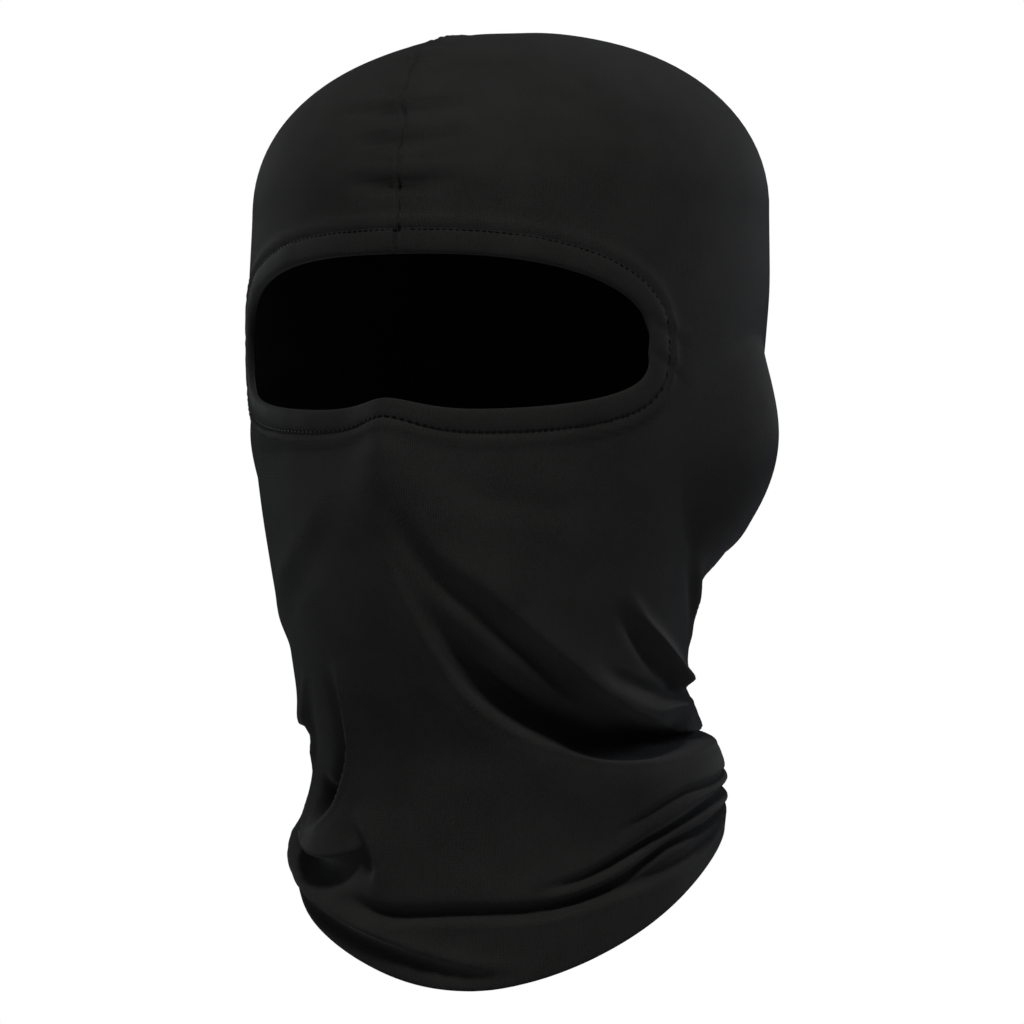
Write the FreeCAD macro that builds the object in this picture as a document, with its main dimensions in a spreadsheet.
import FreeCAD, Part

import os

# A one-piece balaclava of thin stretch knit, in the shape it takes on a head.
# Millimetres. +Z is up, the face looks towards -Y and the wearer's left is +X.
# The origin is the middle of the head at hat-line level.

doc = FreeCAD.newDocument("balaclava")

# Driving dimensions: plain numbers, each read by its alias.
driving_dimensions = [
    ("crown_rise", 60.0, "top of the crown above the hat line"),
    ("knit", 1.0, "thickness of the shell fabric with its surface loft"),
    ("ply", 0.8, "thickness of a turned or folded second layer"),
    ("thread", 0.3, "height of a sewing thread on the fabric"),
    ("slot_straight", 48.0, "half length of the straight part of the eye opening"),
    ("slot_end", 21.0, "half length of each rounded end, seen from the front"),
    ("slot_end_share", 0.42, "growth of an end seen from the front, against growth on the cloth"),
    ("slot_top", 18.5, "upper rim of the eye opening below the hat line"),
    ("slot_height", 49.0, "height of the eye opening"),
    ("bar_length", 150.0, "reach of the cutting bars in front of the head axis"),
    ("bridge_rise", 3.0, "rise of the lower rim over the bridge of the nose"),
    ("bridge_width", 20.0, "half width of that rise"),
    ("band_width", 8.0, "visible width of the binding"),
    ("band_fold", 0.8, "cloth at the fold of the binding, outside the elastic"),
    ("elastic_width", 2.4, "width of the elastic tape in the fold"),
    ("stitch_inset", 1.0, "stitch row inside the free edge of the binding"),
    ("stitch_width", 0.4, "width of a stitch row"),
    ("looper_width", 1.2, "width of the looper thread on the inside"),
    ("hem_sweep", 270.0, "radius of the curve of the lower edge, seen from the side"),
    ("hem_back", 75.0, "how far behind the axis that curve is highest"),
    ("hem_drop", 198.0, "lower edge at the back below the hat line"),
    ("hem_twist", 14.0, "turn of the collar towards the wearer's left, in degrees"),
    ("hem_turn", 9.0, "depth of the turned-up hem"),
    ("hem_row", 7.5, "stitch row above the lower edge"),
    ("seam_allowance", 5.0, "width of the seam allowance, laid to one side"),
    ("overlock_reach", 0.4, "overlock thread past each edge of the allowance"),
    ("label_width", 12.0, "width of the sewn-in label"),
    ("label_length", 28.0, "length of the sewn-in label"),
    ("label_drop", 178.0, "lower end of the label below the hat line"),
    ("label_cloth", 0.4, "thickness of the label"),
    ("join_gap", 0.6, "width of the thread that joins the ends of the binding"),
    ("clearance", 0.1, "space left between the elastic and the cloth edge"),
]

# Level sections of the head and neck: depth below the hat line, half width, front, back.
level_sections = [
    ("hat_line", 0.0, 83.5, 101.0, 101.0),
    ("brow", 25.0, 84.5, 103.5, 100.5),
    ("eye_line", 50.0, 86.0, 107.0, 97.0),
    ("nose_tip", 75.0, 87.0, 112.0, 91.0),
    ("mouth", 100.0, 80.0, 112.0, 78.0),
    ("chin", 125.0, 69.0, 105.0, 61.0),
    ("under_chin", 150.0, 63.5, 95.5, 57.0),
    ("throat", 175.0, 64.0, 84.5, 65.0),
    ("collar", 200.0, 70.5, 82.0, 70.0),
    ("collar_flare", 225.0, 73.0, 84.0, 70.5),
    ("chest", 250.0, 73.0, 85.0, 70.5),
    ("foot", 275.0, 73.0, 85.0, 70.5),
]

sheet = doc.addObject("Spreadsheet::Sheet", "dimensions")
worked_out = [
    ("twist_cos", "=cos(hem_twist * 1deg)", "share of a length along the twisted collar's own side"),
    ("twist_sin", "=sin(hem_twist * 1deg)", "share of it fore and aft"),
]
rows = [(name, value, note) for name, value, note in driving_dimensions]
for name, drop, half_width, front, back in level_sections:
    rows.append((name + "_drop", drop, "section below the hat line"))
    rows.append((name + "_half", half_width, "half width of the section"))
    rows.append((name + "_front", front, "front of the section"))
    rows.append((name + "_back", back, "back of the section"))
rows += worked_out
for line, (name, value, note) in enumerate(rows, start=1):
    sheet.set("A%d" % line, name)
    sheet.set("B%d" % line, str(value))
    sheet.set("C%d" % line, note)
    sheet.setAlias("B%d" % line, name)
doc.recompute()


def bind(feature, **expressions):
    """Tie properties of a feature to the sheet; a double underscore stands for a dot."""
    for path, expression in expressions.items():
        feature.setExpression(path.replace("__", "."), expression)


def sheet_terms(expression):
    """Put the sheet's name before every alias in an expression."""
    words = expression.replace("(", " ( ").replace(")", " ) ").split()
    aliases = [name for name, value, note in rows]
    return " ".join("dimensions." + word if word in aliases else word for word in words)


def add(kind, name, **expressions):
    feature = doc.addObject(kind, name)
    bind(feature, **{path: sheet_terms(text) for path, text in expressions.items()})
    return feature


def fuse(name, shapes):
    joined = doc.addObject("Part::MultiFuse", name)
    joined.Shapes = shapes
    return joined


def common(name, shapes):
    shared = doc.addObject("Part::MultiCommon", name)
    shared.Shapes = shapes
    return shared


def cut(name, base, tool):
    rest = doc.addObject("Part::Cut", name)
    rest.Base = base
    rest.Tool = tool
    return rest


def level_section(layer, station, offset):
    """One level ellipse of the form, its long axis from face to nape."""
    ellipse = add(
        "Part::Ellipse", layer + "_" + station,
        MajorRadius="( %s_front + %s_back ) / 2 + %s" % (station, station, offset),
        MinorRadius="%s_half + %s" % (station, offset),
        Placement__Base__y="( %s_back - %s_front ) / 2" % (station, station),
        Placement__Base__z="0 - %s_drop" % station,
    )
    ellipse.Placement.Rotation = FreeCAD.Rotation(FreeCAD.Vector(0, 0, 1), 90)
    return ellipse


def head_form(layer, offset):
    """A solid head and neck whose surface lies an offset outside the cloth's outer face."""
    crown = add(
        "Part::Ellipsoid", layer + "_crown",
        Radius1="crown_rise + " + offset,
        Radius2="hat_line_half + " + offset,
        Radius3="hat_line_front + " + offset,
    )
    crown.Angle1 = 0
    stations = [name for name, drop, half_width, front, back in level_sections]
    sections = [level_section(layer, station, offset) for station in stations]
    neck = doc.addObject("Part::Loft", layer + "_neck")
    neck.Sections = sections
    neck.Solid = True
    neck.MaxDegree = 3
    return fuse(layer + "_form", [crown, neck])


def forward_bar(name, outline):
    """A solid bar from an upright outline on the head axis out past the face."""
    bar = add("Part::Extrusion", name, LengthFwd="bar_length")
    bar.Base = outline
    bar.DirMode = "Custom"
    bar.Dir = FreeCAD.Vector(0, -1, 0)
    bar.Solid = True
    return bar


def eye_slot(name, grow):
    """The eye opening as a solid bar through the face, each rim moved out by grow."""
    upright = FreeCAD.Rotation(
        FreeCAD.Vector(0, 0, 1), FreeCAD.Vector(1, 0, 0), FreeCAD.Vector(0, 1, 0), "ZXY")
    middle = add(
        "Part::Box", name + "_middle",
        Length="2 * slot_straight",
        Width="bar_length",
        Height="slot_height + 2 * ( %s )" % grow,
        Placement__Base__x="0 - slot_straight",
        Placement__Base__y="0 - bar_length",
        Placement__Base__z="0 - slot_top - slot_height - ( %s )" % grow,
    )
    bars = [middle]
    for side, sign in (("left", ""), ("right", "0 - ")):
        outline = add(
            "Part::Ellipse", name + "_end_" + side,
            MajorRadius="slot_height / 2 + ( %s )" % grow,
            MinorRadius="slot_end + ( %s ) * slot_end_share" % grow,
            Placement__Base__x=sign + "slot_straight",
            Placement__Base__z="0 - slot_top - slot_height / 2",
        )
        outline.Placement.Rotation = upright
        bars.append(forward_bar(name + "_bar_" + side, outline))
    bridge_outline = add(
        "Part::Ellipse", name + "_bridge",
        MajorRadius="bridge_width",
        MinorRadius="bridge_rise",
        Placement__Base__z="0 - slot_top - slot_height - ( %s )" % grow,
    )
    bridge_outline.Placement.Rotation = FreeCAD.Rotation(FreeCAD.Vector(1, 0, 0), 90)
    bridge = forward_bar(name + "_bridge_bar", bridge_outline)
    return cut(name, fuse(name + "_bars", bars), bridge)


def hem_roll(name, grow):
    """Everything below the lower edge, or below a line a distance above it, as a wide cylinder."""
    roll = add(
        "Part::Cylinder", name,
        Radius="hem_sweep + " + grow,
        Height="2 * bar_length",
        Placement__Base__x="0 - bar_length * twist_cos - hem_back * twist_sin",
        Placement__Base__y="hem_back * twist_cos - bar_length * twist_sin",
        Placement__Base__z="0 - hem_drop - hem_sweep",
    )
    sideways = FreeCAD.Rotation(FreeCAD.Vector(0, 1, 0), 90)
    twist = FreeCAD.Rotation(FreeCAD.Vector(0, 0, 1), sheet.hem_twist)
    roll.Placement.Rotation = twist.multiply(sideways)
    return roll


def seam_path(name, left_edge, right_edge):
    """The strip of the centre seam: from the eye opening over the crown and down the back."""
    crown_strip = add(
        "Part::Box", name + "_crown",
        Length="%s - ( %s )" % (right_edge, left_edge),
        Width="bar_length",
        Height="bar_length",
        Placement__Base__x=left_edge,
        Placement__Base__y="0 - bar_length",
        Placement__Base__z="band_width - slot_top",
    )
    back_strip = add(
        "Part::Box", name + "_back",
        Length="%s - ( %s )" % (right_edge, left_edge),
        Width="bar_length",
        Height="bar_length + foot_drop",
        Placement__Base__x=left_edge,
        Placement__Base__z="0 - foot_drop",
    )
    return fuse(name, [crown_strip, back_strip])


def build_shell():
    """The knit shell, double where the hem turns up and where the seam allowance lies."""
    double_parts = fuse("double_parts", [
        hem_roll("hem_limit", "hem_turn"),
        seam_path("allowance_path", "0", "seam_allowance"),
    ])
    single_hollow = cut("single_hollow", form_inside, double_parts)
    hollow = fuse("head_hollow", [single_hollow, form_second])
    wall = cut("shell_wall", form_outside, hollow)
    raw_edge = eye_slot("raw_edge", "band_fold + elastic_width + clearance")
    return cut("shell", cut("shell_open", wall, raw_edge), below_hem)


def build_eye_binding():
    """A strip folded round the raw edge of the eye opening, one ply outside and one inside."""
    folded_wall = cut("binding_wall", form_binding, form_second)
    ring = cut("binding_ring", eye_slot("binding_outline", "band_width"), slot_rim)
    band = common("binding_band", [folded_wall, ring])
    channel = cut("binding_channel", knit_wall, eye_slot("binding_fold_line", "band_fold"))
    return cut("eye_binding", band, channel)


def build_eye_elastic():
    """A flat elastic tape inside the fold of the binding."""
    outline = eye_slot("elastic_outline", "band_fold + elastic_width")
    ring = cut("elastic_ring", outline, eye_slot("elastic_inner", "band_fold"))
    return common("eye_elastic", [knit_wall, ring])


def build_binding_topstitch():
    """The row of needle thread on the outside of the binding."""
    outer_line = eye_slot("topstitch_outline", "band_width - stitch_inset + stitch_width / 2")
    inner_line = eye_slot("topstitch_inner", "band_width - stitch_inset - stitch_width / 2")
    ring = cut("topstitch_ring", outer_line, inner_line)
    return common("binding_topstitch", [outside_thread, ring])


def build_binding_looper_thread():
    """The looper thread of the same row, on the inside of the binding."""
    outer_line = eye_slot("looper_outline", "band_width - stitch_inset + looper_width / 2")
    inner_line = eye_slot("looper_inner", "band_width - stitch_inset - looper_width / 2")
    ring = cut("looper_ring", outer_line, inner_line)
    return common("binding_looper_thread", [inside_thread, ring])


def build_binding_join_stitch():
    """The thread that closes the binding strip into a ring, in line with the crown seam."""
    line = add(
        "Part::Box", "join_line",
        Length="join_gap",
        Width="bar_length",
        Height="band_width - 2 * stitch_inset - band_fold",
        Placement__Base__x="0 - join_gap / 2",
        Placement__Base__y="0 - bar_length",
        Placement__Base__z="band_fold - slot_top",
    )
    return common("binding_join_stitch", [outside_thread, line])


def build_centre_seam_overlock():
    """The overlock thread along the seam allowance, on the inside."""
    path = seam_path("overlock_path", "0 - overlock_reach", "seam_allowance + overlock_reach")
    path_above_hem = cut("overlock_length", path, hem_roll("overlock_end", "hem_turn"))
    return common("centre_seam_overlock", [inside_thread, path_above_hem])


def build_hem_stitch():
    """The blind stitch that holds the turned-up hem, on the inside."""
    below_row = hem_roll("hem_row_low", "hem_row")
    above_row = hem_roll("hem_row_high", "hem_row + stitch_width")
    band = common("hem_row_band", [inside_thread, above_row])
    return cut("hem_stitch", band, below_row)


def build_care_label():
    """A small blank cloth label caught in the back seam at the nape, on the inside."""
    label_wall = cut("label_wall", form_thread, form_label)
    patch = add(
        "Part::Box", "label_patch",
        Length="label_width",
        Width="bar_length",
        Height="label_length",
        Placement__Base__z="0 - label_drop",
    )
    return common("care_label", [label_wall, patch])


form_topstitch = head_form("layer_topstitch", "ply + thread")
form_binding = head_form("layer_binding", "ply")
form_outside = head_form("layer_outside", "0")
form_inside = head_form("layer_inside", "( 0 - knit )")
form_second = head_form("layer_second", "( 0 - knit - ply )")
form_thread = head_form("layer_thread", "( 0 - knit - ply - thread )")
form_label = head_form("layer_label", "( 0 - knit - ply - thread - label_cloth )")

knit_wall = cut("knit_wall", form_outside, form_inside)
outside_thread = cut("outside_thread", form_topstitch, form_binding)
inside_thread = cut("inside_thread", form_second, form_thread)
below_hem = hem_roll("below_hem", "0")
slot_rim = eye_slot("slot_rim", "0")

subparts = [
    build_shell(),
    build_eye_binding(),
    build_eye_elastic(),
    build_binding_topstitch(),
    build_binding_looper_thread(),
    build_binding_join_stitch(),
    build_centre_seam_overlock(),
    build_hem_stitch(),
    build_care_label(),
]
doc.recompute()

for feature in doc.Objects:
    if "Invalid" in feature.State or "Error" in feature.State:
        raise RuntimeError(feature.Name + " did not compute")
for feature in subparts:
    shape = feature.Shape
    if shape.isNull() or not shape.isValid() or not shape.Solids:
        raise RuntimeError(feature.Label + " has no valid solid")
    box = shape.optimalBoundingBox()
    print("%-24s solids %d volume %9.1f size %.1f x %.1f x %.1f z %.1f..%.1f" % (
        feature.Label, len(shape.Solids), shape.Volume,
        box.XLength, box.YLength, box.ZLength, box.ZMin, box.ZMax))

os.makedirs("parts", exist_ok=True)
for feature in subparts:
    feature.Shape.exportStep("parts/%s.step" % feature.Label)
